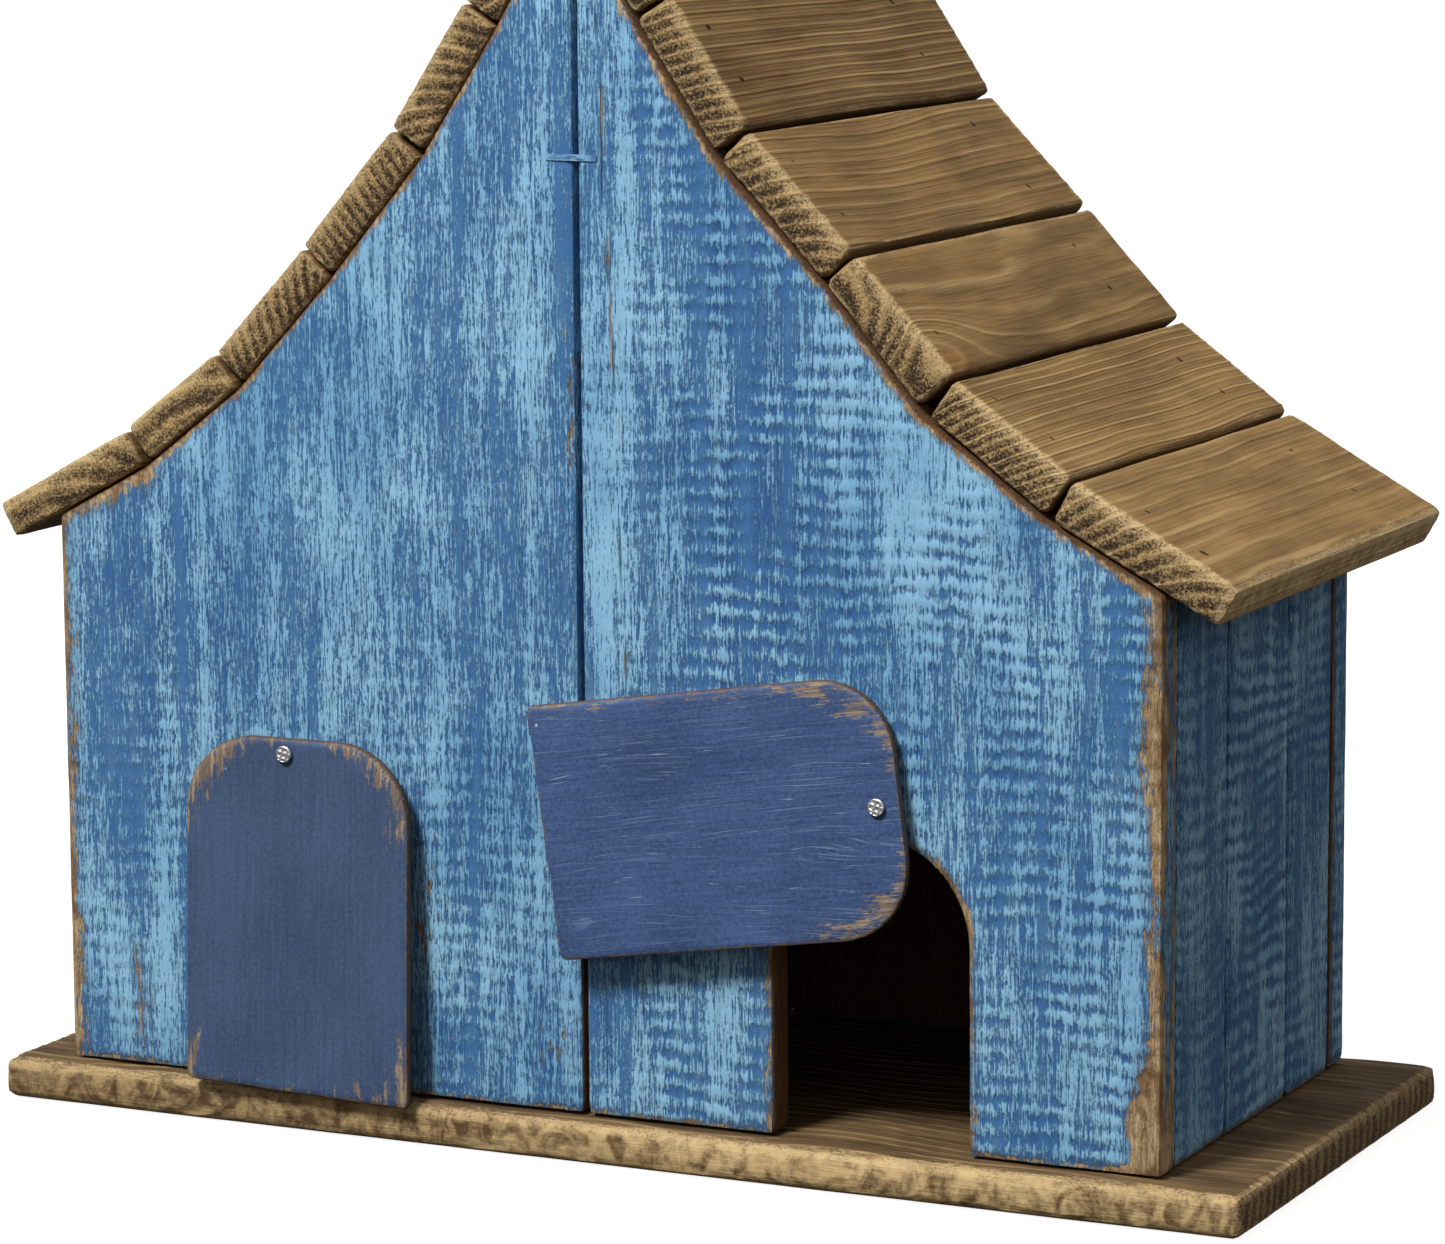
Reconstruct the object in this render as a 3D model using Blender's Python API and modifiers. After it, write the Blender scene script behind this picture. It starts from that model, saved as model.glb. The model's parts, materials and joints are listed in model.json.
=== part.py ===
"""Timber birdhouse: a plank house with a swooping slatted roof and two doors that each hang on one nail.

Metres, +Z up, the front faces -Y. The origin is the centre of the base board's underside.
Every plank, roof slat, door, nail and staple is an object of its own.
"""

import math

import bmesh
import bpy
from mathutils import Matrix, Vector

MM = 0.001

# Base board.
BASE_LENGTH = 317 * MM
BASE_DEPTH = 134 * MM
BASE_THICKNESS = 10 * MM
BASE_EDGE_ROUND = 2.0 * MM

# House walls. The house stands a little left of the base's middle, and its gable a little left of its own.
WALL_WIDTH = 280 * MM
WALL_CENTRE_X = -2.5 * MM
WALL_DEPTH = 121 * MM
FRONT_THICKNESS = 9.5 * MM
BACK_THICKNESS = 11 * MM
SIDE_THICKNESS = 9.5 * MM
SIDE_PLANK_WIDTHS = (31.9 * MM, 39.4 * MM, 29.2 * MM)
SEAM_X = -3.9 * MM
SEAM_GAP = 0.8 * MM
FIT_GAP = 0.3 * MM
PLANK_EDGE_ROUND = 0.7 * MM

# Roof slats from the ridge down to the eave: slope in degrees, width, and thickness at the upper and lower edge.
RIDGE_X = -5.3 * MM
RIDGE_HEIGHT = 280 * MM
RIGHT_SLATS = (
    (60.8, 33.0 * MM, 10.0 * MM, 10.0 * MM),
    (56.5, 36.2 * MM, 10.4 * MM, 10.4 * MM),
    (46.1, 37.5 * MM, 9.6 * MM, 9.8 * MM),
    (49.7, 36.5 * MM, 9.8 * MM, 11.6 * MM),
    (36.4, 36.8 * MM, 10.8 * MM, 10.8 * MM),
    (28.5, 45.3 * MM, 10.6 * MM, 9.8 * MM),
)
LEFT_SLATS = (
    (59.1, 36.2 * MM, 10.3 * MM, 10.3 * MM),
    (56.4, 35.6 * MM, 10.0 * MM, 10.0 * MM),
    (49.5, 37.5 * MM, 9.8 * MM, 10.2 * MM),
    (46.6, 36.2 * MM, 9.8 * MM, 9.8 * MM),
    (37.1, 32.3 * MM, 10.0 * MM, 10.0 * MM),
    (28.1, 42.0 * MM, 9.4 * MM, 9.4 * MM),
)
SLAT_LENGTH = 138 * MM
SLAT_SETBACK = 0.5 * MM
SLAT_GAP = 0.4 * MM
SLAT_EDGE_ROUND = 1.0 * MM
GABLE_DROP = 0.6 * MM

# Arched doorways, open at the floor.
DOORWAY_WIDTH = 47.5 * MM
DOORWAY_HEIGHT = 71 * MM
LEFT_DOORWAY_X = -77.7 * MM
RIGHT_DOORWAY_X = 67.8 * MM

# Plywood doors, as they hang: each edge's distance from the nail, and the top corners' radii.
# Both were sawn a little out of square, so the top and the foot differ from left to right.
DOOR_THICKNESS = 3 * MM
DOOR_EDGE_ROUND = 0.35 * MM
DOOR_FOOT_ROUND = 1.2 * MM
LEFT_DOOR = {
    "left": 27.3 * MM,
    "right": 32.5 * MM,
    "top_left": 3.9 * MM,
    "top_right": 3.3 * MM,
    "foot_left": 78.5 * MM,
    "foot_right": 81.2 * MM,
    "left_radius": 18.5 * MM,
    "right_radius": 19.7 * MM,
}
RIGHT_DOOR = {
    "left": 29.2 * MM,
    "right": 29.4 * MM,
    "top_left": 5.5 * MM,
    "top_right": 5.5 * MM,
    "foot_left": 84.9 * MM,
    "foot_right": 83.4 * MM,
    "left_radius": 18 * MM,
    "right_radius": 17.5 * MM,
}

# Each nail slopes down into the wall, so the door's foot stands clear of the base's front edge.
NAIL_TILT = math.radians(3.5)
DOOR_STAND_OFF = 2.1 * MM
LEFT_NAIL_X = -78.7 * MM
RIGHT_NAIL_X = 72.2 * MM
LEFT_NAIL_HEIGHT = 79.4 * MM
RIGHT_NAIL_HEIGHT = 78.6 * MM
LEFT_DOOR_SWING = math.radians(-0.8)
RIGHT_DOOR_SWING = math.radians(81.5)

# Fasteners.
NAIL_SHANK_RADIUS = 0.9 * MM
NAIL_HEAD_RADIUS = 2.0 * MM
NAIL_HEAD_THICKNESS = 0.8 * MM
DOOR_NAIL_LENGTH = 14 * MM
BASE_NAIL_LENGTH = 28 * MM
BASE_NAIL_RECESS = 0.5 * MM
NAIL_POINT = 2.0 * MM
ROUND_STEPS = 16
STAPLE_CROWN = 12.7 * MM
STAPLE_LEG = 8 * MM
STAPLE_WIRE = 1.1 * MM
STAPLE_WIDTH = 1.4 * MM
STAPLE_PROUD = 0.2 * MM
STAPLE_X = -4.7 * MM
STAPLE_HEIGHT = 219.8 * MM

BASE_TOP = BASE_THICKNESS
WALL_FOOT = BASE_TOP + FIT_GAP
FRONT_Y = -WALL_DEPTH / 2
BACK_Y = WALL_DEPTH / 2
WALL_LEFT = WALL_CENTRE_X - WALL_WIDTH / 2
WALL_RIGHT = WALL_CENTRE_X + WALL_WIDTH / 2


def clear_scene():
    for old in list(bpy.data.objects):
        bpy.data.objects.remove(old, do_unlink=True)


def new_collection(name):
    collection = bpy.data.collections.new(name)
    bpy.context.scene.collection.children.link(collection)
    return collection


def new_material(name, color, roughness, metallic=0.0):
    material = bpy.data.materials.new(name)
    material.use_nodes = True
    shader = material.node_tree.nodes["Principled BSDF"]
    shader.inputs["Base Color"].default_value = (*color, 1.0)
    shader.inputs["Roughness"].default_value = roughness
    shader.inputs["Metallic"].default_value = metallic
    material.diffuse_color = (*color, 1.0)
    return material


clear_scene()
PARTS = new_collection("birdhouse")
CUTTERS = new_collection("cutters")


def link(obj, material):
    PARTS.objects.link(obj)
    obj.data.materials.append(material)
    return obj


def round_edges(obj, width, segments=2):
    bevel = obj.modifiers.new("worn_edges", "BEVEL")
    bevel.width = width
    bevel.segments = segments
    bevel.limit_method = "ANGLE"
    bevel.angle_limit = math.radians(30)


def arc(centre_x, centre_y, radius, start_deg, end_deg, steps):
    """Points along an arc, both ends included."""
    points = []
    for step in range(steps + 1):
        angle = math.radians(start_deg + (end_deg - start_deg) * step / steps)
        points.append((centre_x + radius * math.cos(angle), centre_y + radius * math.sin(angle)))
    return points


def outline_mesh(name, outline, thickness):
    """A closed outline in local X and Y, filled and extruded by its thickness, centred on Z = 0."""
    curve = bpy.data.curves.new(name, "CURVE")
    curve.dimensions = "2D"
    curve.fill_mode = "BOTH"
    curve.extrude = thickness / 2
    spline = curve.splines.new("POLY")
    spline.points.add(len(outline) - 1)
    for point, (x, y) in zip(spline.points, outline):
        point.co = (x, y, 0, 1)
    spline.use_cyclic_u = True
    guide = bpy.data.objects.new(name, curve)
    bpy.context.scene.collection.objects.link(guide)
    bpy.context.view_layer.update()
    graph = bpy.context.evaluated_depsgraph_get()
    mesh = bpy.data.meshes.new_from_object(guide.evaluated_get(graph))
    bpy.data.objects.remove(guide, do_unlink=True)
    bpy.data.curves.remove(curve)
    work = bmesh.new()
    work.from_mesh(mesh)
    bmesh.ops.remove_doubles(work, verts=work.verts, dist=0.001 * MM)
    bmesh.ops.dissolve_limit(work, angle_limit=math.radians(1), verts=work.verts, edges=work.edges)
    bmesh.ops.recalc_face_normals(work, faces=work.faces)
    work.to_mesh(mesh)
    work.free()
    mesh.name = name
    return mesh


def standing_mesh(name, outline, thickness):
    """The same, stood up: the outline is in X and Z, and the thickness runs along Y."""
    mesh = outline_mesh(name, outline, thickness)
    mesh.transform(Matrix.Rotation(math.radians(90), 4, "X"))
    return mesh


def drill(target, point, direction, radius, depth):
    """Cuts a round hole of the given depth both ways from a point."""
    bpy.ops.mesh.primitive_cylinder_add(vertices=ROUND_STEPS, radius=radius, depth=2 * depth)
    cutter = bpy.context.object
    cutter.name = target.name + "_bore"
    cutter.matrix_world = (
        Matrix.Translation(point) @ Vector(direction).to_track_quat("Z", "Y").to_matrix().to_4x4()
    )
    use_cutter(target, cutter)
    return cutter


def use_cutter(target, cutter):
    for owner in list(cutter.users_collection):
        owner.objects.unlink(cutter)
    CUTTERS.objects.link(cutter)
    cutter.hide_render = True
    cutter.display_type = "WIRE"
    cut = target.modifiers.new(cutter.name, "BOOLEAN")
    cut.operation = "DIFFERENCE"
    cut.object = cutter


def slat_seams(slats):
    """Points down the underside of one side of the roof, ridge first, as distance out and height."""
    out = 0.0
    height = BASE_TOP + RIDGE_HEIGHT
    seams = [(out, height)]
    for slope, width, *_ in slats:
        out += width * math.cos(math.radians(slope))
        height -= width * math.sin(math.radians(slope))
        seams.append((out, height))
    return seams


LEFT_SEAMS = slat_seams(LEFT_SLATS)
RIGHT_SEAMS = slat_seams(RIGHT_SLATS)


def gable_height(x):
    """Height of a wall's top edge under the roof at a given X."""
    seams = RIGHT_SEAMS if x >= RIDGE_X else LEFT_SEAMS
    out = abs(x - RIDGE_X)
    for (near, high), (far, low) in zip(seams, seams[1:]):
        if out <= far:
            break
    share = (out - near) / (far - near)
    return high + (low - high) * share - GABLE_DROP


def gable_edge(left, right):
    """Points of a wall's top edge between two X values, from right to left."""
    corners = [RIDGE_X]
    corners += [RIDGE_X - out for out, _ in LEFT_SEAMS[1:]]
    corners += [RIDGE_X + out for out, _ in RIGHT_SEAMS[1:]]
    inside = [x for x in corners if left < x < right]
    return [(x, gable_height(x)) for x in sorted([left, right] + inside, reverse=True)]


def doorway(centre_x):
    """Points up, over and down one doorway, from left to right."""
    radius = DOORWAY_WIDTH / 2
    spring = BASE_TOP + DOORWAY_HEIGHT - radius
    return (
        [(centre_x - radius, WALL_FOOT)]
        + arc(centre_x, spring, radius, 180, 0, ROUND_STEPS)
        + [(centre_x + radius, WALL_FOOT)]
    )


def gable_plank(name, left, right, front, thickness, material, doorway_x=None):
    outline = [(left, WALL_FOOT)]
    if doorway_x is not None:
        outline += doorway(doorway_x)
    outline += [(right, WALL_FOOT)] + gable_edge(left, right)
    mesh = standing_mesh(name, outline, thickness)
    plank = link(bpy.data.objects.new(name, mesh), material)
    plank.location.y = front + thickness / 2
    round_edges(plank, PLANK_EDGE_ROUND, 1)
    return plank


def side_plank(name, outer_x, inner_x, front, width, material):
    low, high = sorted((outer_x, inner_x))
    outline = [(low, WALL_FOOT), (high, WALL_FOOT), (high, gable_height(high)), (low, gable_height(low))]
    mesh = standing_mesh(name, outline, width - 2 * FIT_GAP)
    plank = link(bpy.data.objects.new(name, mesh), material)
    plank.location.y = front + width / 2
    round_edges(plank, PLANK_EDGE_ROUND, 1)
    return plank


def end_trim(slats, seam):
    """How far the edges of two slats step back from a seam, so that their outer edges clear."""
    bend = math.radians(slats[seam - 1][0] - slats[seam][0])
    thickness = max(slats[seam - 1][3], slats[seam][2])
    return SLAT_GAP / 2 + max(0.0, thickness * math.tan(bend / 2))


def slat_section(slats, seams, index, side):
    """Four corners of a slat's end: underside low, underside high, top high, top low."""
    slope, _, upper_thickness, lower_thickness = slats[index]
    angle = math.radians(slope)
    down = Vector((math.cos(angle), -math.sin(angle)))
    outward = Vector((math.sin(angle), math.cos(angle)))
    low = Vector(seams[index + 1])
    high = Vector(seams[index])
    if index + 1 < len(slats):
        low -= down * end_trim(slats, index + 1)
    if index > 0:
        high += down * end_trim(slats, index)
        top_high = high + outward * upper_thickness
    else:
        mitre = SLAT_GAP / 2
        high += down * (mitre / down.x)
        top_high = high + Vector((0, upper_thickness / math.cos(angle)))
    corners = (low, high, top_high, low + outward * lower_thickness)
    return [(RIDGE_X + side * corner.x, corner.y) for corner in corners]


def roof_slat(name, slats, seams, index, side, material):
    mesh = standing_mesh(name, slat_section(slats, seams, index, side), SLAT_LENGTH)
    slat = link(bpy.data.objects.new(name, mesh), material)
    slat.location.y = FRONT_Y + SLAT_SETBACK + SLAT_LENGTH / 2
    round_edges(slat, SLAT_EDGE_ROUND, 2)
    return slat


def rounded_outline(corners, radii, steps):
    """A polygon, listed anticlockwise, with each corner rounded to its own radius."""
    points = []
    for index, corner in enumerate(corners):
        corner = Vector(corner)
        before = (Vector(corners[index - 1]) - corner).normalized()
        after = (Vector(corners[(index + 1) % len(corners)]) - corner).normalized()
        radius = radii[index]
        half_angle = before.angle(after) / 2
        centre = corner + (before + after).normalized() * (radius / math.sin(half_angle))
        start = corner + before * (radius / math.tan(half_angle)) - centre
        turn = math.degrees(math.pi - 2 * half_angle)
        first = math.degrees(math.atan2(start.y, start.x))
        points += arc(centre.x, centre.y, radius, first, first + turn, steps[index])
    return points


def door_outline(door):
    """The door's face in local X and Z, with its nail hole at the origin."""
    corners = (
        (-door["left"], -door["foot_left"]),
        (door["right"], -door["foot_right"]),
        (door["right"], door["top_right"]),
        (-door["left"], door["top_left"]),
    )
    radii = (DOOR_FOOT_ROUND, DOOR_FOOT_ROUND, door["right_radius"], door["left_radius"])
    return rounded_outline(corners, radii, (3, 3, 12, 12))


def hung_door(name, door, nail_x, nail_height, swing, material):
    """A door on its nail, swung clockwise as seen from the front."""
    mesh = standing_mesh(name, door_outline(door), DOOR_THICKNESS)
    panel = link(bpy.data.objects.new(name, mesh), material)
    outward = Vector((0, -math.cos(NAIL_TILT), math.sin(NAIL_TILT)))
    foot_of_nail = Vector((nail_x, FRONT_Y, BASE_TOP + nail_height))
    panel.location = foot_of_nail + outward * (DOOR_STAND_OFF + DOOR_THICKNESS / 2)
    panel.rotation_mode = "YXZ"
    panel.rotation_euler = (-NAIL_TILT, swing, 0)
    round_edges(panel, DOOR_EDGE_ROUND, 1)
    bore = NAIL_SHANK_RADIUS + FIT_GAP
    drill(panel, panel.location, outward, bore, DOOR_THICKNESS)
    return panel


def nail(name, length, material):
    """A flat-headed nail along local Z: the head's underside is at the origin, and the head is above it."""
    side = [
        (0, NAIL_HEAD_THICKNESS),
        (NAIL_HEAD_RADIUS - 0.3 * MM, NAIL_HEAD_THICKNESS),
        (NAIL_HEAD_RADIUS, NAIL_HEAD_THICKNESS - 0.25 * MM),
        (NAIL_HEAD_RADIUS, 0),
        (NAIL_SHANK_RADIUS, 0),
        (NAIL_SHANK_RADIUS, NAIL_POINT - length),
        (0, -length),
    ]
    mesh = bpy.data.meshes.new(name)
    work = bmesh.new()
    points = [work.verts.new((radius, 0, height)) for radius, height in side]
    for first, second in zip(points, points[1:]):
        work.edges.new((first, second))
    work.to_mesh(mesh)
    work.free()
    piece = link(bpy.data.objects.new(name, mesh), material)
    turn = piece.modifiers.new("turned", "SCREW")
    turn.axis = "Z"
    turn.steps = ROUND_STEPS
    turn.render_steps = ROUND_STEPS
    turn.use_merge_vertices = True
    turn.merge_threshold = 0.01 * MM
    turn.use_smooth_shade = True
    return piece


def door_nail(name, plank, nail_x, nail_height, material):
    """The nail that a door turns on, driven into its plank."""
    outward = Vector((0, -math.cos(NAIL_TILT), math.sin(NAIL_TILT)))
    foot_of_nail = Vector((nail_x, FRONT_Y, BASE_TOP + nail_height))
    piece = nail(name, DOOR_NAIL_LENGTH, material)
    piece.location = foot_of_nail + outward * (DOOR_STAND_OFF + DOOR_THICKNESS + FIT_GAP)
    piece.rotation_euler = (math.radians(90) - NAIL_TILT, 0, 0)
    drill(plank, foot_of_nail, outward, NAIL_SHANK_RADIUS + FIT_GAP, 2 * FRONT_THICKNESS)
    return piece


def base_nail(name, base, plank, x, y, material):
    """A nail up through the base board into the end of a wall plank."""
    piece = nail(name, BASE_NAIL_LENGTH, material)
    head_seat = BASE_NAIL_RECESS + NAIL_HEAD_THICKNESS
    piece.location = (x, y, head_seat)
    piece.rotation_euler = (math.radians(180), 0, 0)
    bore = NAIL_SHANK_RADIUS + FIT_GAP
    drill(base, (x, y, 0), (0, 0, 1), NAIL_HEAD_RADIUS + FIT_GAP, head_seat + FIT_GAP)
    drill(base, (x, y, 0), (0, 0, 1), bore, 2 * BASE_THICKNESS)
    drill(plank, (x, y, WALL_FOOT), (0, 0, 1), bore, BASE_NAIL_LENGTH)
    return piece


def staple_outline(grow):
    """A staple's U in X and Y with its crown at the front, grown all round by a gap."""
    half = STAPLE_CROWN / 2 + grow
    inner = STAPLE_CROWN / 2 - STAPLE_WIRE - grow
    front = -STAPLE_PROUD - grow
    back = STAPLE_LEG + grow
    crown = STAPLE_WIRE - STAPLE_PROUD + grow
    return [
        (-half, front),
        (half, front),
        (half, back),
        (inner, back),
        (inner, crown),
        (-inner, crown),
        (-inner, back),
        (-half, back),
    ]


def seam_staple(name, planks, face_y, turn, material):
    """A staple across the seam of two planks, its crown nearly flush with their faces."""
    mesh = outline_mesh(name, staple_outline(0), STAPLE_WIDTH)
    piece = link(bpy.data.objects.new(name, mesh), material)
    place = Matrix.Translation((STAPLE_X, face_y, BASE_TOP + STAPLE_HEIGHT)) @ Matrix.Rotation(turn, 4, "Z")
    piece.matrix_world = place
    for plank in planks:
        slot_mesh = outline_mesh(plank.name + "_slot", staple_outline(FIT_GAP), STAPLE_WIDTH + 2 * FIT_GAP)
        slot = bpy.data.objects.new(plank.name + "_slot", slot_mesh)
        PARTS.objects.link(slot)
        slot.matrix_world = place
        use_cutter(plank, slot)
    return piece


def base_board(material):
    bpy.ops.mesh.primitive_cube_add(size=1, location=(0, 0, BASE_THICKNESS / 2))
    board = bpy.context.object
    board.name = "base_board"
    board.data.transform(Matrix.Diagonal((BASE_LENGTH, BASE_DEPTH, BASE_THICKNESS, 1)))
    for owner in list(board.users_collection):
        owner.objects.unlink(board)
    link(board, material)
    round_edges(board, BASE_EDGE_ROUND, 3)
    return board


def side_walls(blue):
    """Three upright planks a side, between the front and back walls."""
    planks = []
    for side, outer, inner in (
        ("left", WALL_LEFT, WALL_LEFT + SIDE_THICKNESS),
        ("right", WALL_RIGHT, WALL_RIGHT - SIDE_THICKNESS),
    ):
        front = FRONT_Y + FRONT_THICKNESS
        for place, width in zip(("front", "middle", "back"), SIDE_PLANK_WIDTHS):
            planks.append(side_plank(f"{side}_side_plank_{place}", outer, inner, front, width, blue))
            front += width
    return planks


def roof(brown):
    """Six slats a side, numbered from the eave up to the ridge."""
    for side, slats, seams, sign in (
        ("left", LEFT_SLATS, LEFT_SEAMS, -1),
        ("right", RIGHT_SLATS, RIGHT_SEAMS, 1),
    ):
        for index in range(len(slats)):
            number = len(slats) - index
            roof_slat(f"{side}_roof_slat_{number}", slats, seams, index, sign, brown)


def nail_base_to_walls(base, gable_planks, side_planks, steel):
    """Two nails into the foot of each gable plank and one into each side plank."""
    number = 1
    for plank, thickness_centre, places in gable_planks:
        for x in places:
            base_nail(f"base_nail_{number}", base, plank, x, thickness_centre, steel)
            number += 1
    for plank in side_planks:
        inward = SIDE_THICKNESS / 2 if "left" in plank.name else -SIDE_THICKNESS / 2
        x = (WALL_LEFT if "left" in plank.name else WALL_RIGHT) + inward
        base_nail(f"base_nail_{number}", base, plank, x, plank.location.y, steel)
        number += 1


def build():
    blue = new_material("distressed_blue_paint", (0.12, 0.34, 0.60), 0.75)
    navy = new_material("navy_door_paint", (0.06, 0.12, 0.30), 0.6)
    roof_brown = new_material("stained_roof_timber", (0.26, 0.17, 0.09), 0.75)
    base_brown = new_material("stained_base_timber", (0.30, 0.19, 0.10), 0.75)
    steel = new_material("zinc_plated_steel", (0.70, 0.70, 0.72), 0.35, 1.0)

    base = base_board(base_brown)
    seam_left = SEAM_X - SEAM_GAP / 2
    seam_right = SEAM_X + SEAM_GAP / 2
    front_left = gable_plank(
        "front_plank_left", WALL_LEFT, seam_left, FRONT_Y, FRONT_THICKNESS, blue, LEFT_DOORWAY_X
    )
    front_right = gable_plank(
        "front_plank_right", seam_right, WALL_RIGHT, FRONT_Y, FRONT_THICKNESS, blue, RIGHT_DOORWAY_X
    )
    rear_y = BACK_Y - BACK_THICKNESS
    back_left = gable_plank("back_plank_left", WALL_LEFT, seam_left, rear_y, BACK_THICKNESS, blue)
    back_right = gable_plank("back_plank_right", seam_right, WALL_RIGHT, rear_y, BACK_THICKNESS, blue)
    sides = side_walls(blue)
    roof(roof_brown)

    hung_door("left_door", LEFT_DOOR, LEFT_NAIL_X, LEFT_NAIL_HEIGHT, LEFT_DOOR_SWING, navy)
    hung_door("right_door", RIGHT_DOOR, RIGHT_NAIL_X, RIGHT_NAIL_HEIGHT, RIGHT_DOOR_SWING, navy)
    door_nail("left_door_nail", front_left, LEFT_NAIL_X, LEFT_NAIL_HEIGHT, steel)
    door_nail("right_door_nail", front_right, RIGHT_NAIL_X, RIGHT_NAIL_HEIGHT, steel)

    seam_staple("front_seam_staple", (front_left, front_right), FRONT_Y, 0, steel)
    seam_staple("back_seam_staple", (back_left, back_right), BACK_Y, math.pi, steel)

    front_centre = FRONT_Y + FRONT_THICKNESS / 2
    back_centre = BACK_Y - BACK_THICKNESS / 2
    gable_planks = (
        (front_left, front_centre, (WALL_LEFT + 20 * MM, SEAM_X - 22 * MM)),
        (front_right, front_centre, (SEAM_X + 22 * MM, WALL_RIGHT - 22 * MM)),
        (back_left, back_centre, (WALL_LEFT + 30 * MM, SEAM_X - 30 * MM)),
        (back_right, back_centre, (SEAM_X + 30 * MM, WALL_RIGHT - 30 * MM)),
    )
    nail_base_to_walls(base, gable_planks, sides, steel)


build()
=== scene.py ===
"""Visual model of the plank birdhouse: worn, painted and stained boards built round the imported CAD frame.

Each board is a finely divided copy of its CAD solid. Its edges are worn back and its grain stands up in
relief, always inwards, so every board stays inside its solid. Each point of a board also carries, for the
materials: its place in the board's own axes (along the grain, across it, and through it) in millimetres, how
far it is from an edge, its growth ring, whether it is end grain, and whether it is bare of paint.
"""

import json
import math
import random

import bmesh
import bpy
import numpy as np
from mathutils import Matrix, Vector, noise


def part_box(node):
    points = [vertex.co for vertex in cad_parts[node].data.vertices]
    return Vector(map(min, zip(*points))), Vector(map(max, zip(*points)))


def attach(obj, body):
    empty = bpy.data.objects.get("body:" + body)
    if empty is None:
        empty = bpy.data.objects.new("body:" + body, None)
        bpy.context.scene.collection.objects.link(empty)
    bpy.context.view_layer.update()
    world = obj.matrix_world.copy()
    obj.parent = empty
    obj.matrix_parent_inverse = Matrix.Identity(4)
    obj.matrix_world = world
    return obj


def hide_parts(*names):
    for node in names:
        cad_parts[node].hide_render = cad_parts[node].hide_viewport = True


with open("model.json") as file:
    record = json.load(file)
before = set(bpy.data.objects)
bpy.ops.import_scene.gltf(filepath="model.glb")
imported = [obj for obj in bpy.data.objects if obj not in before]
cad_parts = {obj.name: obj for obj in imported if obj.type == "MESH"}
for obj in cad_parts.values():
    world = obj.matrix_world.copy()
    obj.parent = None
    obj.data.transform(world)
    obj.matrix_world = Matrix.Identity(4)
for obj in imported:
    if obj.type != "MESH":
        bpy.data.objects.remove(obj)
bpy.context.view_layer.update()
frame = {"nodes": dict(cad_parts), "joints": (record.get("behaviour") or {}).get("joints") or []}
NODES = frame["nodes"]
JOINTS = {joint["name"]: joint for joint in frame["joints"]}
MM = 0.001

# In millimetres: the saw's chatter rows on the walls, and the growth rings of the two stained timbers.
CHATTER_PITCH = 4.4
ROOF_RING_PITCH = 3.6
BASE_RING_PITCH = 4.6


def link(made):
    """Puts an object into the scene."""
    bpy.context.scene.collection.objects.link(made)


# ---------------------------------------------------------------- materials


def linear(red, green, blue):
    """A display colour from 0 to 255 as linear light."""
    channels = []
    for value in (red, green, blue):
        share = value / 255
        channels.append(share / 12.92 if share <= 0.04045 else ((share + 0.055) / 1.055) ** 2.4)
    return (*channels, 1.0)


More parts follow.
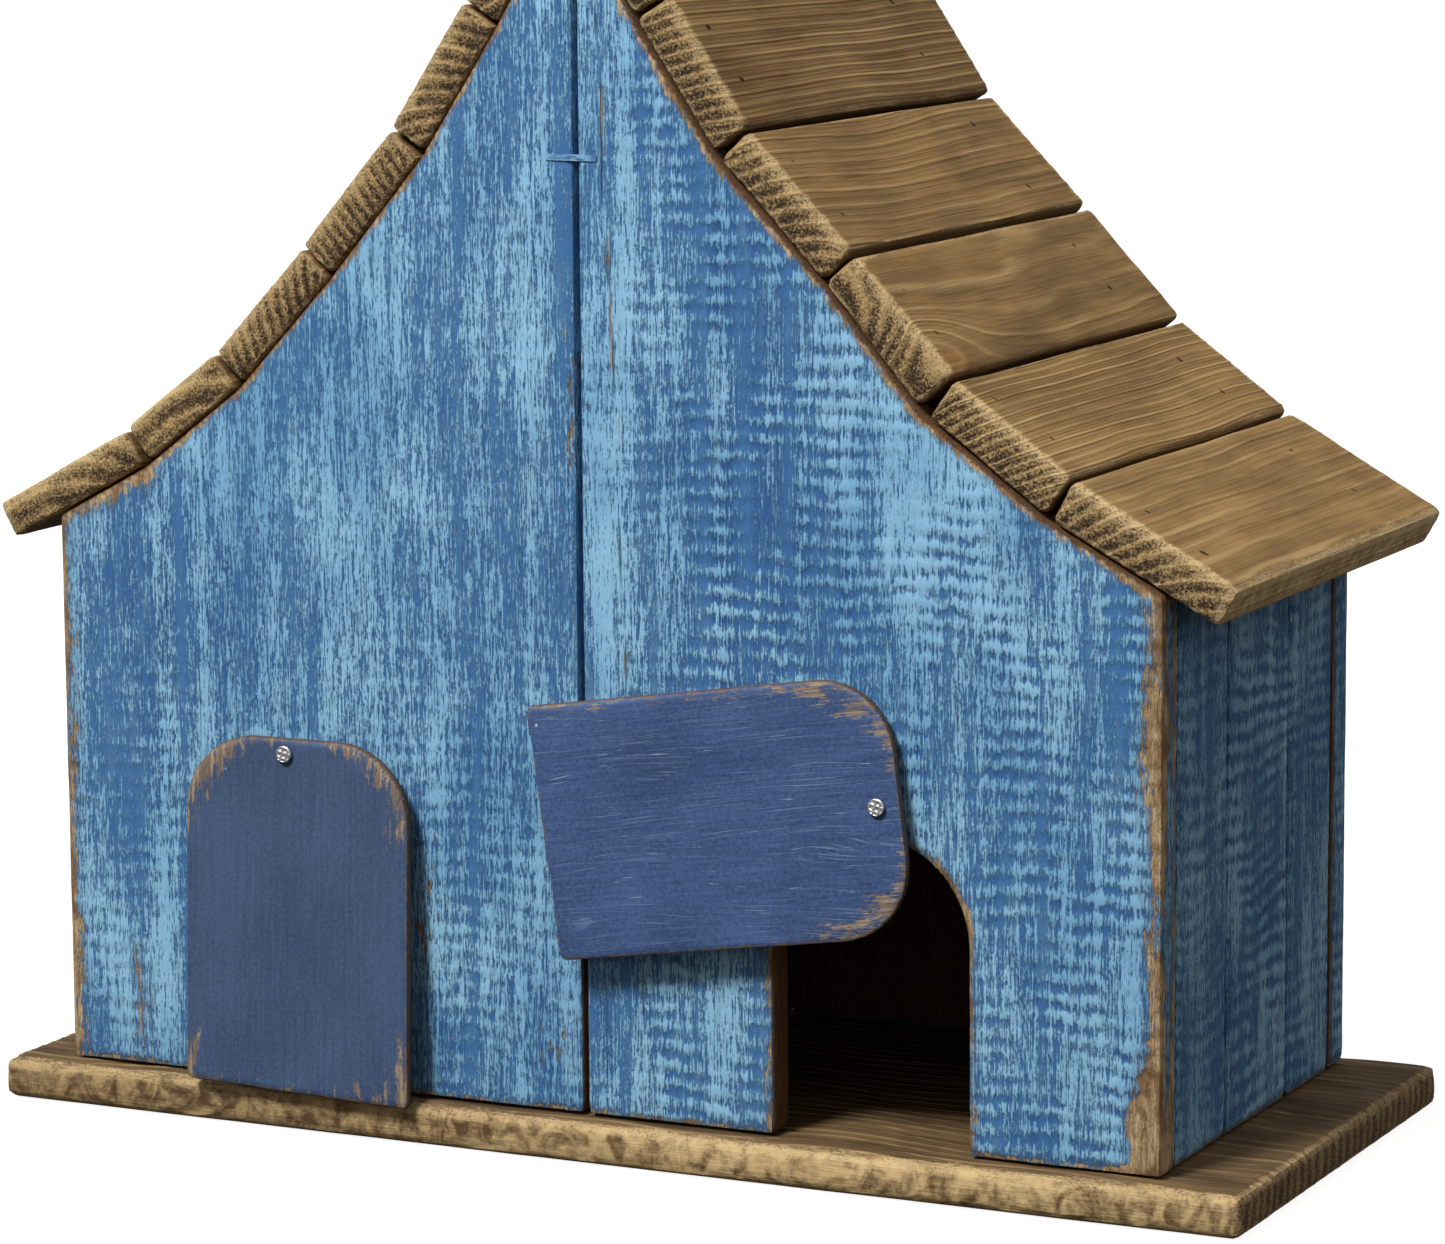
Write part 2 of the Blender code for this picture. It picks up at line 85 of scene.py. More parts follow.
class Shade:
    """A Principled material and short calls for the nodes that feed it. Vectors are in board millimetres."""

    def __init__(self, name):
        self.material = bpy.data.materials.new(name)
        self.material.use_nodes = True
        self.tree = self.material.node_tree
        self.shader = self.tree.nodes["Principled BSDF"]

    def node(self, kind, **settings):
        made = self.tree.nodes.new(kind)
        for name, value in settings.items():
            setattr(made, name, value)
        return made

    def feed(self, socket, value):
        if isinstance(value, bpy.types.NodeSocket):
            self.tree.links.new(value, socket)
        else:
            socket.default_value = value

    def attribute(self, name, vector=False):
        made = self.node("ShaderNodeAttribute", attribute_name=name)
        return made.outputs["Vector" if vector else "Fac"]

    def stretch(self, vector, factors, offset=(0, 0, 0)):
        made = self.node("ShaderNodeMapping")
        self.feed(made.inputs["Vector"], vector)
        made.inputs["Scale"].default_value = factors
        made.inputs["Location"].default_value = offset
        return made.outputs["Vector"]

    def noise(self, vector, factors, detail=4.0, rough=0.6, offset=(0, 0, 0), distortion=0.0):
        made = self.node("ShaderNodeTexNoise")
        self.feed(made.inputs["Vector"], self.stretch(vector, factors, offset))
        made.inputs["Scale"].default_value = 1.0
        made.inputs["Detail"].default_value = detail
        made.inputs["Roughness"].default_value = rough
        made.inputs["Distortion"].default_value = distortion
        return made.outputs["Fac"]

    def cells(self, vector, factors, offset=(0, 0, 0)):
        made = self.node("ShaderNodeTexVoronoi")
        self.feed(made.inputs["Vector"], self.stretch(vector, factors, offset))
        made.inputs["Scale"].default_value = 1.0
        return made.outputs["Distance"]

    def math(self, operation, first, second=0.0):
        made = self.node("ShaderNodeMath", operation=operation)
        self.feed(made.inputs[0], first)
        self.feed(made.inputs[1], second)
        return made.outputs[0]

    def times(self, first, second):
        return self.math("MULTIPLY", first, second)

    def inverse(self, value):
        return self.math("SUBTRACT", 1.0, value)

    def total(self, *terms):
        """The sum of (value, weight) pairs, each value first centred on zero by taking away 0.5."""
        result = 0.0
        for value, weight in terms:
            made = self.node("ShaderNodeMath", operation="MULTIPLY_ADD")
            centred = self.math("SUBTRACT", value, 0.5)
            self.feed(made.inputs[0], centred)
            self.feed(made.inputs[1], weight)
            self.feed(made.inputs[2], result)
            result = made.outputs[0]
        return result

    def step(self, value, low, high):
        """0 below low and 1 above high, with a smooth rise between."""
        made = self.node("ShaderNodeMapRange", interpolation_type="SMOOTHSTEP")
        self.feed(made.inputs["Value"], value)
        made.inputs["From Min"].default_value = low
        made.inputs["From Max"].default_value = high
        return made.outputs["Result"]

    def mix(self, share, first, second, blend="MIX"):
        made = self.node("ShaderNodeMix", data_type="RGBA", blend_type=blend)
        self.feed(made.inputs[0], share)
        self.feed(made.inputs[6], first)
        self.feed(made.inputs[7], second)
        return made.outputs[2]

    def wave(self, value, period):
        """A sine of the value with the given period, from 0 to 1."""
        turned = self.math("SINE", self.math("MULTIPLY", value, 2 * math.pi / period))
        return self.math("ADD", self.math("MULTIPLY", turned, 0.5), 0.5)

    def component(self, vector, index):
        made = self.node("ShaderNodeSeparateXYZ")
        self.feed(made.inputs[0], vector)
        return made.outputs[index]

    def with_second(self, vector, second):
        """The vector's first component, with the second replaced and no third."""
        parts = self.node("ShaderNodeSeparateXYZ")
        self.feed(parts.inputs[0], vector)
        joined = self.node("ShaderNodeCombineXYZ")
        self.feed(joined.inputs[0], parts.outputs[0])
        self.feed(joined.inputs[1], second)
        return joined.outputs[0]

    def finish(self, colour, rough, height, depth, strength=1.0, specular=0.35):
        self.feed(self.shader.inputs["Base Color"], colour)
        self.feed(self.shader.inputs["Roughness"], rough)
        self.shader.inputs["Specular IOR Level"].default_value = specular
        bump = self.node("ShaderNodeBump")
        bump.inputs["Distance"].default_value = depth * MM
        bump.inputs["Strength"].default_value = strength
        self.feed(bump.inputs["Height"], height)
        self.feed(self.shader.inputs["Normal"], bump.outputs["Normal"])
        return self.material


def bare_wood(shade, board):
    """Raw and lightly stained softwood, for worn edges: light tan with brown fibres."""
    fibre = shade.noise(board, (0.05, 1.5, 1.5), 5, 0.7)
    blotch = shade.noise(board, (0.12, 0.3, 0.3), 3, 0.6)
    light = shade.mix(shade.step(fibre, 0.35, 0.65), linear(150, 120, 82), linear(196, 174, 136))
    return shade.mix(shade.step(blotch, 0.42, 0.66), light, linear(122, 94, 62))


def wall_paint():
    """Light blue paint dry-brushed over darker blue, worn to bare wood along the edges."""
    shade = Shade("distressed_blue_paint")
    board = shade.attribute("board", vector=True)
    edge = shade.attribute("edge")
    bare = shade.attribute("bare")
    row = shade.attribute("row")

    fibre = shade.noise(board, (0.13, 2.1, 2.1), 5, 0.7)
    strand = shade.noise(board, (0.45, 3.6, 3.6), 3, 0.62, (31, 7, 0))
    column = shade.noise(board, (0.007, 0.17, 0.17), 4, 0.62)
    patch = shade.noise(board, (0.022, 0.04, 0.04), 3, 0.55, (5, 9, 2))
    speck = shade.noise(board, (0.9, 1.5, 1.5), 2, 0.6)

    # The saw's chatter: rows a few millimetres apart, their lower edges drawn out into combs by the fibres.
    ragged = shade.noise(board, (0.05, 1.3, 1.3), 3, 0.6, (8, 1, 4))
    broken = shade.noise(board, (0.1, 0.12, 0.12), 3, 0.6, (1, 6, 4))
    row_bent = shade.math("ADD", row, shade.total((ragged, 3.4), (broken, 4.0)))
    rows = shade.wave(row_bent, CHATTER_PITCH)
    row_patch = shade.step(shade.noise(board, (0.04, 0.07, 0.07), 3, 0.5, (12, 4, 1)), 0.36, 0.6)
    rows_weight = shade.times(shade.times(shade.attribute("chatter"), row_patch), 0.25)

    cover = shade.total(
        (fibre, 1.35), (strand, 0.8), (column, 0.95), (patch, 0.4), (speck, 0.55), (rows, rows_weight)
    )
    cover = shade.math("ADD", cover, shade.attribute("tint"))
    share = shade.step(cover, -0.125, 0.105)
    deep = shade.mix(shade.step(column, 0.35, 0.65), linear(56, 105, 156), linear(36, 79, 134))
    pale = shade.mix(shade.step(patch, 0.35, 0.65), linear(106, 159, 196), linear(136, 184, 213))
    colour = shade.mix(share, deep, pale)
    milky = shade.noise(board, (0.05, 0.3, 0.3), 4, 0.6, (1, 20, 6))
    milky_share = shade.times(shade.step(milky, 0.52, 0.72), 0.3)
    colour = shade.mix(milky_share, colour, linear(108, 144, 168))

    # Flecks where the paint has come off with the fibres, and fine dark checks in the grain.
    wood = bare_wood(shade, board)
    fleck = shade.noise(board, (0.2, 0.9, 0.9), 4, 0.65, (40, 2, 9))
    fleck = shade.math("ADD", fleck, shade.times(shade.attribute("chips"), 0.17))
    fleck_share = shade.step(fleck, 0.72, 0.76)
    fleck_tint = shade.mix(shade.step(strand, 0.4, 0.6), linear(84, 66, 52), linear(150, 128, 98))
    colour = shade.mix(fleck_share, colour, fleck_tint)
    check = shade.noise(board, (0.035, 1.3, 1.3), 3, 0.5, (2, 60, 3))
    check_share = shade.times(shade.step(check, 0.66, 0.73), 0.6)
    colour = shade.mix(check_share, colour, linear(28, 52, 92))
    crack = shade.attribute("crack")
    crack_line = shade.inverse(shade.step(crack, 0.15, 0.42))
    colour = shade.mix(shade.times(crack_line, 0.7), colour, linear(52, 66, 92))
    crack_wear = shade.inverse(shade.step(crack, 0.3, 1.2))
    crack_patch = shade.step(shade.noise(board, (0.06, 0.5, 0.5), 3, 0.6, (70, 1, 1)), 0.6, 0.66)
    colour = shade.mix(shade.times(crack_wear, crack_patch), colour, linear(140, 122, 98))

    # Worn edges: bare wood with a ragged border, the darker undercoat showing just beyond it.
    fray = shade.total(
        (shade.noise(board, (0.06, 0.3, 0.3), 4, 0.65, (9, 9, 9)), 5.0),
        (shade.noise(board, (0.25, 1.5, 1.5), 4, 0.7, (2, 8, 5)), 5.0),
    )
    reach = shade.math("ADD", edge, fray)
    undercoat = shade.inverse(shade.step(reach, 0.9, 2.4))
    colour = shade.mix(shade.times(undercoat, 0.55), colour, linear(72, 96, 128))
    worn = shade.inverse(shade.step(reach, 0.5, 0.95))
    colour = shade.mix(worn, colour, wood)
    # Bare faces inside, in the doorway and under the roof: dark brown, partly raw wood and partly painted
    # shade.
    inside = shade.mix(shade.step(fibre, 0.4, 0.6), linear(84, 58, 34), linear(112, 80, 50))
    colour = shade.mix(bare, colour, inside)

    rough = shade.math("ADD", shade.times(share, -0.1), 0.74)
    height = shade.total(
        (share, 0.45), (fibre, 0.8), (speck, 0.3), (rows, rows_weight), (crack_line, -2.0), (worn, -0.6),
        (fleck_share, -0.8)
    )
    return shade.finish(colour, rough, height, 0.34, 0.85)


def timber(name, dark, mid, light, pale, ring_period, contrast, end_dark, end_light, sawn_dark, sawn_light):
    """Stained softwood: thin pale growth lines on brown, speckled end grain, and rubbed arrises."""
    shade = Shade(name)
    board = shade.attribute("board", vector=True)
    end = shade.attribute("end")
    ring = shade.attribute("ring")
    tone = shade.attribute("tone")

    fibre = shade.noise(board, (0.03, 1.5, 1.5), 5, 0.7)
    smear = shade.noise(board, (0.012, 0.12, 0.12), 4, 0.6, (3, 1, 7))
    blotch = shade.noise(board, (0.035, 0.06, 0.06), 3, 0.55, (6, 2, 1))
    ring_bend = shade.noise(board, (0.02, 0.25, 0.25), 3, 0.55, (4, 4, 1))
    ring_bent = shade.math("ADD", ring, shade.total((ring_bend, 1.1)))
    lines = shade.wave(ring_bent, ring_period)
    thin = shade.math("POWER", lines, 6.0)
    fine = shade.math("POWER", shade.wave(ring_bent, ring_period * 0.37), 3.0)
    body = shade.total((fibre, 0.9), (smear, 1.2), (blotch, 1.0))
    colour = shade.mix(shade.step(body, -0.36, 0.36), dark, mid)
    line_patch = shade.step(shade.noise(board, (0.015, 0.12, 0.12), 3, 0.6, (8, 8, 8)), 0.4, 0.62)
    figure = shade.times(shade.attribute("figure"), contrast)
    line_share = shade.times(shade.times(thin, line_patch), figure)
    colour = shade.mix(line_share, colour, light)
    colour = shade.mix(shade.times(fine, shade.times(figure, 0.28)), colour, dark)
    scratch = shade.noise(board, (0.9, 0.05, 0.4), 3, 0.6, (17, 3, 2), 1.5)
    colour = shade.mix(shade.times(shade.step(scratch, 0.71, 0.76), 0.3), colour, light)
    amber = shade.mix(shade.step(fibre, 0.35, 0.65), linear(134, 92, 46), linear(164, 122, 68))
    colour = shade.mix(shade.attribute("amber"), colour, amber)

    # Sawn faces that took little stain: pale, blotched across the grain, with darker torn spots. On the
    # roof's eave face this pale colour is partly painted light, standing in for the light that falls on that
    # face.
    curl = shade.noise(board, (0.13, 0.09, 0.09), 4, 0.62, (2, 12, 6), 1.6)
    curl_fine = shade.noise(board, (0.5, 0.7, 0.7), 4, 0.7, (5, 5, 2))
    curls = shade.total((curl, 1.6), (curl_fine, 0.8), (smear, 0.7))
    sawn = shade.mix(shade.step(curls, -0.32, 0.36), sawn_dark, sawn_light)
    torn_spot = shade.step(shade.noise(board, (0.3, 0.3, 0.3), 4, 0.7, (9, 2, 4)), 0.64, 0.72)
    sawn = shade.mix(shade.times(torn_spot, 0.7), sawn, linear(84, 58, 34))
    colour = shade.mix(shade.attribute("sawn"), colour, sawn)

    # End grain: saw-torn speckle over the growth rings, with painted shade on the roof slats: lighter
    # towards the top face and darker towards the underside.
    torn = shade.noise(board, (1.3, 1.7, 1.7), 4, 0.78)
    pore = shade.cells(board, (0.8, 1.7, 1.7))
    cloud = shade.noise(board, (0.1, 0.16, 0.16), 3, 0.6, (5, 1, 9))
    ring_torn = shade.math("ADD", ring_bent, shade.total((torn, 3.2)))
    rings_end = shade.wave(ring_torn, ring_period)
    speckle = shade.total((torn, 1.7), (pore, 0.7), (rings_end, 0.42), (cloud, 0.8))
    # Painted shade: the rise attribute lightens the end grain towards the slat's top and darkens it below.
    speckle = shade.math("ADD", speckle, shade.times(shade.attribute("rise"), 0.2))
    end_colour = shade.mix(shade.step(speckle, -0.4, 0.55), end_dark, end_light)
    colour = shade.mix(end, colour, end_colour)

    # Arrises rubbed back to pale wood.
    fray = shade.total(
        (shade.noise(board, (0.09, 0.4, 0.4), 4, 0.65, (9, 9, 9)), 4.0),
        (shade.noise(board, (0.8, 1.2, 1.2), 3, 0.6, (2, 8, 5)), 1.8),
    )
    reach = shade.math("ADD", shade.attribute("edge"), fray)
    rubbed = shade.inverse(shade.step(reach, 0.0, 1.5))
    rubbed = shade.times(rubbed, shade.step(torn, 0.36, 0.56))
    colour = shade.mix(shade.times(rubbed, 0.85), colour, pale)
    colour = shade.mix(tone, colour, shade.mix(1.0, colour, (0.62, 0.6, 0.58, 1), "MULTIPLY"))
    height = shade.total((fibre, 0.7), (thin, 0.55), (torn, shade.times(end, 1.8)), (fine, 0.2))
    return shade.finish(colour, 0.72, height, 0.36, 0.9, 0.3)


def door_paint(name, body, body_dark, scuff, cracks):
    """Navy paint on thin plywood: fine pale cracks along the grain, rubbed rims and brown edges."""
    shade = Shade(name)
    board = shade.attribute("board", vector=True)
    edge = shade.attribute("edge")
    rim = shade.attribute("rim")
    through = shade.component(board, 2)

    fibre = shade.noise(board, (0.035, 1.3, 1.3), 4, 0.6)
    cloud = shade.noise(board, (0.03, 0.04, 0.04), 3, 0.5)
    weave = shade.noise(board, (1.2, 1.2, 1.2), 2, 0.6, (4, 4, 4))
    tone = shade.total((fibre, 0.6), (cloud, 0.7), (weave, 0.8))
    colour = shade.mix(shade.step(tone, -0.35, 0.35), body_dark, body)
    drift = shade.noise(board, (0.012, 0.05, 0.05), 2, 0.5, (3, 6, 1))
    across = shade.math("ADD", shade.component(board, 1), shade.total((drift, 16.0)))
    line = shade.noise(shade.with_second(board, across), (0.045, 2.2, 0.0), 3, 0.55, (7, 2, 2))
    line_patch = shade.step(shade.noise(board, (0.03, 0.1, 0.1), 3, 0.6, (2, 2, 8)), 0.36, 0.6)
    line_share = shade.times(shade.step(line, 0.56, 0.68), line_patch)
    colour = shade.mix(shade.times(line_share, cracks * 0.7), colour, linear(108, 128, 168))
    bright = shade.noise(shade.with_second(board, across), (0.09, 3.4, 0.0), 2, 0.5, (1, 22, 2))
    bright_share = shade.times(shade.step(bright, 0.7, 0.76), cracks)
    colour = shade.mix(bright_share, colour, linear(186, 200, 222))
    dot = shade.cells(board, (0.05, 0.05, 0.05))
    dot_share = shade.inverse(shade.step(dot, 0.012, 0.022))
    colour = shade.mix(dot_share, colour, linear(170, 176, 188))

    # Scuffs through to brown ply near the rim, thickest where the rim attribute is high.
    scrape = shade.noise(board, (0.16, 0.5, 0.5), 5, 0.78, (5, 15, 2))
    scrape_share = shade.step(shade.math("ADD", scrape, shade.times(rim, 0.25)), 0.67, 0.77)
    ply = shade.mix(shade.step(fibre, 0.4, 0.6), linear(116, 94, 70), linear(158, 138, 108))
    colour = shade.mix(shade.times(scrape_share, scuff), colour, ply)
    fray = shade.total((shade.noise(board, (0.4, 0.4, 0.4), 4, 0.7, (9, 9, 9)), 3.0))
    rubbed = shade.inverse(shade.step(shade.math("ADD", edge, fray), 0.0, 0.7))
    colour = shade.mix(shade.times(rubbed, 0.85), colour, linear(112, 92, 68))
    layers = shade.step(shade.wave(through, 1.5), 0.3, 0.7)
    laminated = shade.mix(layers, linear(46, 32, 22), linear(98, 72, 48))
    colour = shade.mix(shade.attribute("end"), colour, laminated)
    height = shade.total((fibre, 0.5), (line_share, -0.9 * cracks), (weave, 0.3), (scrape_share, -0.6))
    return shade.finish(colour, 0.58, height, 0.16, 0.7, 0.4)


def steel(name, colour, rough):
    """Zinc-plated steel with a mottled, slightly scratched surface."""
    shade = Shade(name)
    where = shade.node("ShaderNodeTexCoord").outputs["Object"]
    mottle = shade.noise(where, (900, 900, 900), 3, 0.6)
    tint = shade.mix(shade.step(mottle, 0.35, 0.65), colour, linear(232, 232, 234))
    shade.shader.inputs["Metallic"].default_value = 0.9
    return shade.finish(tint, rough, mottle, 0.02, 0.5, 0.5)


def painted_steel():
    """The staple, painted over with the wall."""
    shade = Shade("painted_over_staple")
    where = shade.node("ShaderNodeTexCoord").outputs["Object"]
    brushed = shade.noise(where, (300, 1500, 1500), 4, 0.6)
    colour = shade.mix(shade.step(brushed, 0.4, 0.6), linear(60, 98, 146), linear(118, 162, 192))
    return shade.finish(colour, 0.6, brushed, 0.05, 0.6)


def dark_hole():
    """The shadowed, stained bottom of a brad hole."""
    shade = Shade("brad_hole")
    where = shade.node("ShaderNodeTexCoord").outputs["Object"]
    grit = shade.noise(where, (1400, 1400, 1400), 3, 0.6)
    colour = shade.mix(shade.step(grit, 0.4, 0.6), linear(34, 22, 12), linear(64, 44, 26))
    return shade.finish(colour, 0.85, grit, 0.05, 0.6)


WALL_PAINT = wall_paint()
ROOF_TIMBER = timber(
    "stained_roof_timber",
    dark=linear(114, 87, 48),
    mid=linear(154, 121, 73),
    light=linear(200, 168, 116),
    pale=linear(200, 174, 128),
    ring_period=ROOF_RING_PITCH,
    contrast=0.8,
    end_dark=linear(50, 33, 15),
    end_light=linear(192, 161, 110),
    # The roof's sawn colours are partly painted light: paler, to stand in for light on the eave face.
    sawn_dark=linear(172, 140, 92),
    sawn_light=linear(228, 204, 158),
)
BASE_TIMBER = timber(
    "stained_base_timber",
    dark=linear(68, 52, 32),
    mid=linear(112, 88, 56),
    light=linear(154, 127, 88),
    pale=linear(196, 168, 120),
    ring_period=BASE_RING_PITCH,
    contrast=0.8,
    end_dark=linear(66, 50, 30),
    end_light=linear(170, 142, 100),
    sawn_dark=linear(92, 68, 40),
    sawn_light=linear(196, 168, 120),
)
LEFT_DOOR_PAINT = door_paint("left_door_paint", linear(62, 84, 118), linear(44, 62, 90), 0.85, 0.1)
RIGHT_DOOR_PAINT = door_paint("right_door_paint", linear(64, 90, 134), linear(32, 54, 92), 0.8, 0.75)
ZINC = steel("zinc_plated_steel", linear(190, 190, 192), 0.36)
DULL_ZINC = steel("dull_zinc_nail", linear(150, 150, 152), 0.5)
STAPLE_PAINT = painted_steel()
BRAD_HOLE = dark_hole()


# ---------------------------------------------------------------- boards


def noise_at(points, factors, seed, octaves=1):
    """Smooth noise, about -1 to 1, at each point once it is multiplied by the factors."""
    shift = Vector((seed * 17.31, -seed * 9.13, seed * 5.71))
    places = points * np.array(factors, float) + np.array(shift)
    if octaves == 1:
        return np.array([noise.noise(place) for place in places.tolist()])
    return np.array([noise.fractal(place, 0.8, 2.1, octaves) for place in places.tolist()])


def fine_mesh(node, axes, voxel):
    """A CAD node's solid in the board's own axes, in millimetres: a plain copy, and a finely divided one."""
    turn = Matrix([[*axis, 0] for axis in axes] + [[0, 0, 0, 1]])
    plain = NODES[node].data.copy()
    work = bmesh.new()
    work.from_mesh(plain)
    bmesh.ops.remove_doubles(work, verts=work.verts, dist=0.00001)
    work.to_mesh(plain)
    work.free()
    plain.transform(Matrix.Scale(1 / MM, 4) @ turn)
    holder = bpy.data.objects.new(node + "_fine", plain)
    link(holder)
    remesh = holder.modifiers.new("fine", "REMESH")
    remesh.mode = "VOXEL"
    remesh.voxel_size = voxel
    remesh.adaptivity = 0
    bpy.context.view_layer.update()
    graph = bpy.context.evaluated_depsgraph_get()
    fine = bpy.data.meshes.new_from_object(holder.evaluated_get(graph))
    bpy.data.objects.remove(holder, do_unlink=True)
    return plain, fine, turn


def feature_edges(mesh, least_degrees, least_length):
    """The sharp edges of a plain mesh as an array of end points, without the small ones round bores."""
    work = bmesh.new()
    work.from_mesh(mesh)
    found = []
    for line in work.edges:
        if len(line.link_faces) == 2 and line.calc_length() > least_length:
            if math.degrees(line.calc_face_angle(0)) > least_degrees:
                found.append([*line.verts[0].co, *line.verts[1].co])
    work.free()
    return np.array(found).reshape(-1, 2, 3)


def edge_distance(points, lines, widths):
    """Each point's least distance to a line, with each line's distances divided by its width."""
    least = np.full(len(points), 1e9)
    for (start, finish), width in zip(lines, widths):
        along = finish - start
        share = np.clip(((points - start) @ along) / (along @ along), 0, 1)
        away = np.linalg.norm(points - start - share[:, None] * along, axis=1)
        least = np.minimum(least, away / width)
    return least


def neighbours_mean(points, ends, rounds):
    """The points after several rounds of moving each to the mean of its neighbours."""
    count = np.bincount(ends.ravel(), minlength=len(points))
    for _ in range(rounds):
        moved = np.empty_like(points)
        for axis in range(3):
            total = np.bincount(ends[:, 0], points[ends[:, 1], axis], len(points))
            total += np.bincount(ends[:, 1], points[ends[:, 0], axis], len(points))
            moved[:, axis] = total / count
        points = moved
    return points


def add_values(mesh, name, values):
    """Stores a number or a vector for each of the mesh's points."""
    kind = "FLOAT_VECTOR" if values.ndim == 2 else "FLOAT"
    made = mesh.attributes.new(name, kind, "POINT")
    made.data.foreach_set("vector" if values.ndim == 2 else "value", values.astype(np.float32).ravel())


def read_points(mesh, normals=False):
    """The mesh's points, or its normals, one to a row."""
    values = np.empty(len(mesh.vertices) * 3, np.float32)
    mesh.vertices.foreach_get("normal" if normals else "co", values)
    return values.reshape(-1, 3).astype(float)


# What the materials read at each point, besides its place and its distance from an edge.
VALUES = "end bare ring tone crack chatter rim row tint sawn amber rise figure chips".split()


class Board:
    """A board in the making: its fine mesh's points and normals, in its own axes and in millimetres."""

    def __init__(self, node, axes, voxel, seed):
        self.node = node
        self.seed = seed
        self.plain, self.mesh, self.turn = fine_mesh(node, axes, voxel)
        self.points = read_points(self.mesh)
        self.normals = read_points(self.mesh, normals=True)
        ends = np.empty(len(self.mesh.edges) * 2, np.int32)
        self.mesh.edges.foreach_get("vertices", ends)
        self.ends = ends.reshape(-1, 2)
        self.low = self.points.min(0)
        self.high = self.points.max(0)
        self.middle = (self.low + self.high) / 2
        self.half = (self.high - self.low) / 2
        self.local = self.points - self.middle
        near_end = (np.abs(self.local[:, 0]) - self.half[0] + 1.0) / 0.5
        self.grain_end = np.clip(np.maximum((np.abs(self.normals[:, 0]) - 0.5) / 0.3, near_end), 0, 1)
        self.lines = feature_edges(self.plain, 18, 1.2)
        self.nearness = edge_distance(self.points, self.lines, np.ones(len(self.lines)))
        self.values = {}

    def wear(self, amount, rounds, factors):
        """Wears the edges back: each point goes a share of the way to its smoothed place."""
        smooth = neighbours_mean(self.points, self.ends, rounds)
        share = np.clip(amount * (0.55 + 0.9 * noise_at(self.local, factors, self.seed, 3)), 0, 1)
        self.points = self.points + (smooth - self.points) * share[:, None]

    def sink(self, depth):
        """Moves each point in along its normal, in millimetres. A negative depth counts as none."""
        self.points = self.points - self.normals * np.maximum(depth, 0)[:, None]

    def rings(self, pith_across, pith_through, wander):
        """The distance from the tree's pith, which wanders along the board."""
        drift = noise_at(self.local, (0.013, 0.012, 0.012), self.seed + 3, 2) * wander
        across = self.local[:, 1] - pith_across
        through = self.local[:, 2] - pith_through
        return np.hypot(across, through) + drift

    def crease(self):
        """Keeps the arrises crisp, but no other edge."""
        self.mesh.set_sharp_from_angle(angle=math.radians(33))
        sharp = np.zeros(len(self.ends), bool)
        self.mesh.attributes["sharp_edge"].data.foreach_get("value", sharp)
        close = self.nearness[self.ends].max(1) < 2.2
        self.mesh.attributes["sharp_edge"].data.foreach_set("value", sharp & close)

    def finish(self, material, slot, body, offset):
        """Writes the points and values back and makes the piece that stands for the CAD node."""
        self.mesh.vertices.foreach_set("co", self.points.astype(np.float32).ravel())
        add_values(self.mesh, "board", self.local + np.array(offset, float))
        self.values.setdefault("edge", np.full(len(self.points), 9.0))
        for name in VALUES:
            default = 99.0 if name == "crack" else 0.0
            add_values(self.mesh, name, self.values.get(name, np.full(len(self.points), default)))
        add_values(self.mesh, "edge", self.values["edge"])
        self.mesh.transform(self.turn.inverted() @ Matrix.Scale(MM, 4))
        if self.turn.determinant() < 0:
            self.mesh.flip_normals()
        self.mesh.shade_smooth()
        self.crease()
        self.mesh.materials.clear()
        self.mesh.materials.append(material)
        self.mesh.name = self.node + "_board"
        piece = bpy.data.objects.new("worn_" + self.node, self.mesh)
        link(piece)
        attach(piece, body)
        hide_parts(self.node)
        bpy.data.meshes.remove(self.plain)
        return piece


X_AXIS = Vector((1, 0, 0))
Y_AXIS = Vector((0, 1, 0))
Z_AXIS = Vector((0, 0, 1))
STAPLES = [
    (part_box(name)[0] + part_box(name)[1]) / 2 / MM for name in ("front_seam_staple", "back_seam_staple")
]
WALL_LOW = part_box("front_plank_left")[0] / MM
WALL_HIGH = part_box("front_plank_right")[1] / MM
SEAM_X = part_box("front_plank_right")[0].x / MM

# In millimetres: the doorways' rise above the wall's foot, and the heights above the ground between which
# the seam is rubbed bare and the right front plank has its crack.
DOORWAY_RISE = 72
RUBBED_SEAM = (150, 230)
CRACK_SPAN = (20, 275)


def world_lines(board):
    """The middle of each sharp edge, along the object's own axes and in millimetres."""
    turn = np.array(board.turn.to_3x3())
    return board.lines.mean(1) @ turn


def gable_widths(board):
    """How far wear reaches from each edge of a gable plank: most on the gable and the outer corners."""
    widths = []
    for middle in world_lines(board):
        x, y, z = middle
        if min((Vector(middle) - staple).length for staple in STAPLES) < 9:
            width = 0.01
        elif abs(x - SEAM_X) < 3:
            width = 0.5 if x < SEAM_X - 0.5 and RUBBED_SEAM[0] < z < RUBBED_SEAM[1] else 0.12
        elif x < WALL_LOW.x + 3 or x > WALL_HIGH.x - 3:
            width = 2.0 if y < 0 else 0.8
        elif z < WALL_LOW.z + 2:
            width = 0.55
        elif z < WALL_LOW.z + DOORWAY_RISE + 3 and WALL_LOW.x + 20 < x < WALL_HIGH.x - 20:
            width = 1.1
        else:
            width = 2.2 if x < WALL_LOW.x + 22 else 0.8
        widths.append(width)
    return widths


